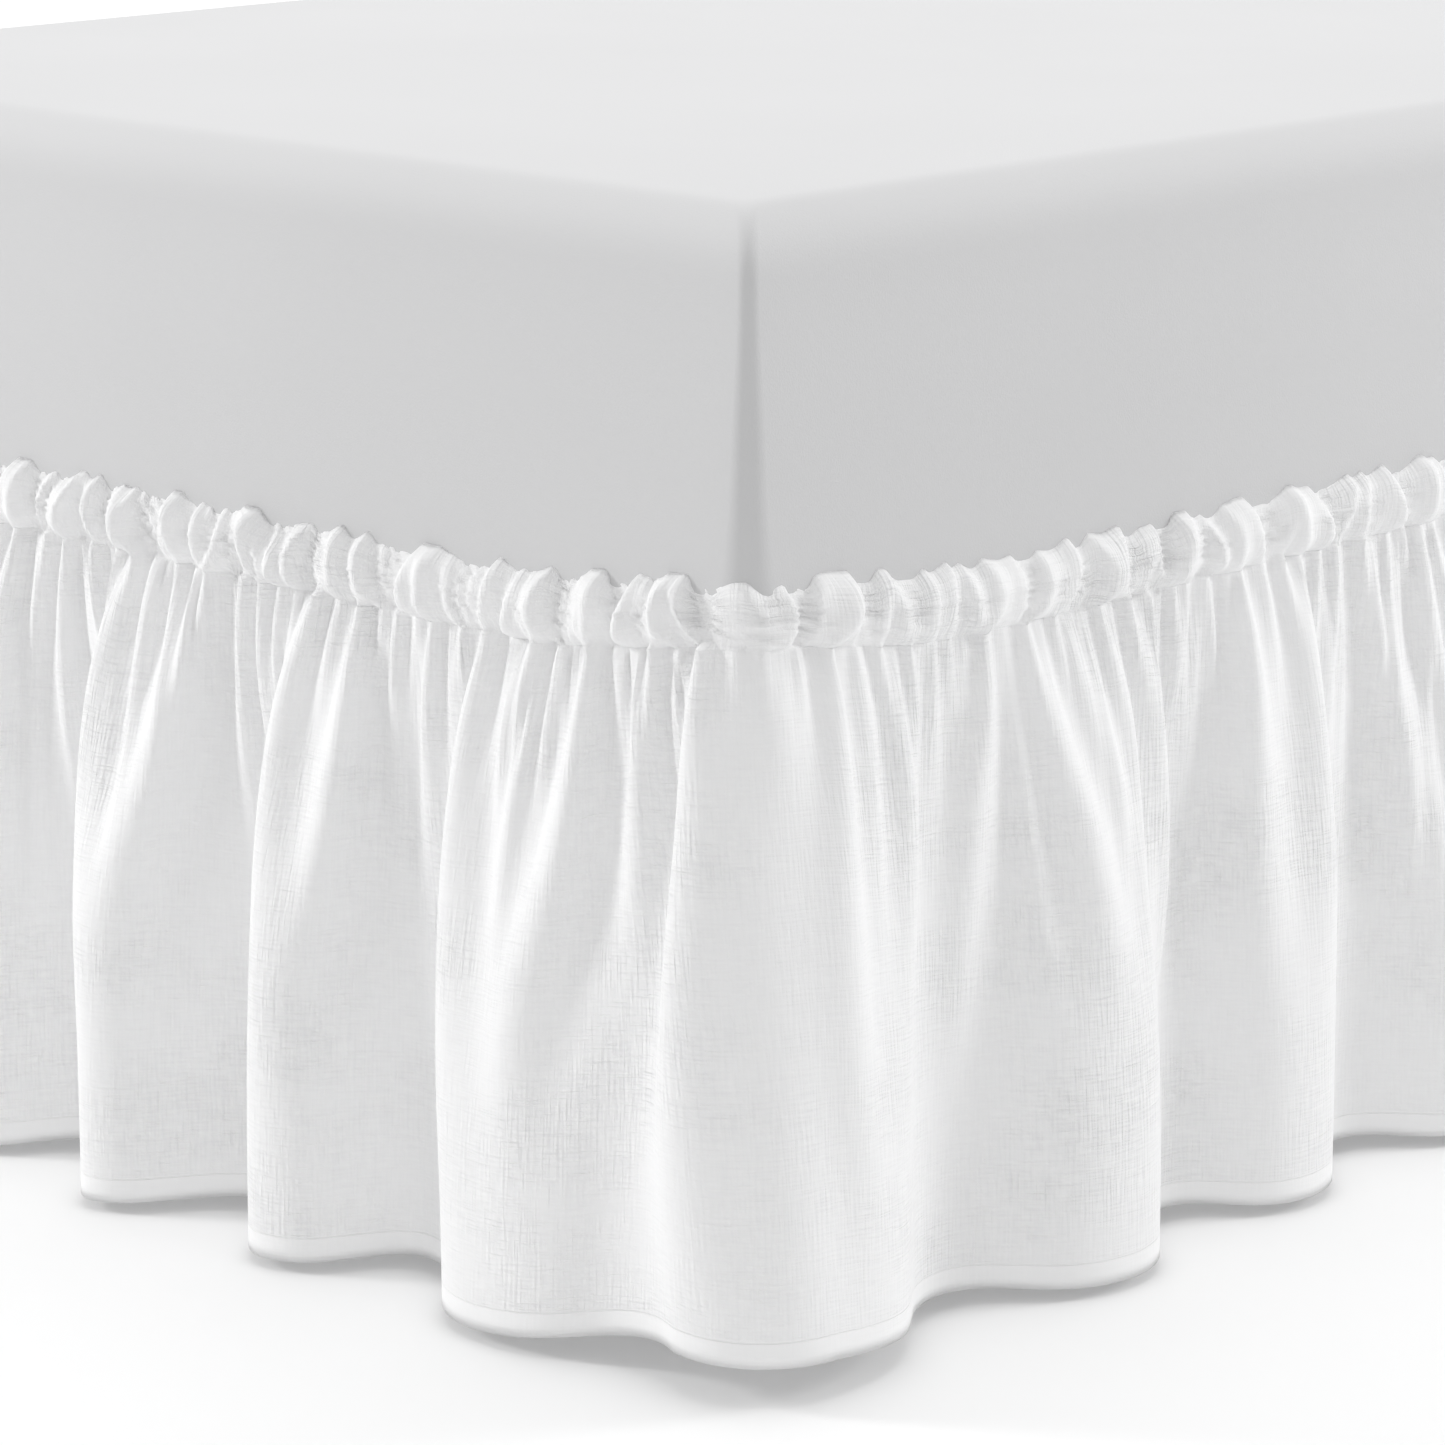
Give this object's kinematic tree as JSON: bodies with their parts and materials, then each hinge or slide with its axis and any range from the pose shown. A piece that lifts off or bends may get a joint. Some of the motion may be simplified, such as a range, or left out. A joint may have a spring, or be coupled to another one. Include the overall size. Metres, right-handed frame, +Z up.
{
  "type": "bed skirt with bed",
  "caption": "Gathered wrap-around bed skirt with a puffed elastic heading and a deep folded drop to the floor, on a plain single mattress and base.",
  "frame": {"origin": "centre of the bed on the floor, under the middle of its feet", "axes": "+Z up, +Y along the bed from its foot to its head, +X to the side"},
  "size_m": [1.1145, 2.036, 0.614],
  "materials": {
    "skirt_cloth": "white slub-weave cloth",
    "heading_cloth": "white slub-weave cloth, gathered",
    "mattress_ticking": "plain smooth knit",
    "base_upholstery": "plain weave",
    "leg_plastic": "matt black"
  },
  "bodies": {
    "root": {"skirt_drop": "skirt_cloth", "skirt_heading": "heading_cloth", "mattress": "mattress_ticking", "bed_base": "base_upholstery", "leg_1": "leg_plastic", "leg_2": "leg_plastic", "leg_3": "leg_plastic", "leg_4": "leg_plastic", "leg_5": "leg_plastic", "leg_6": "leg_plastic"}
  },
  "joints": []
}
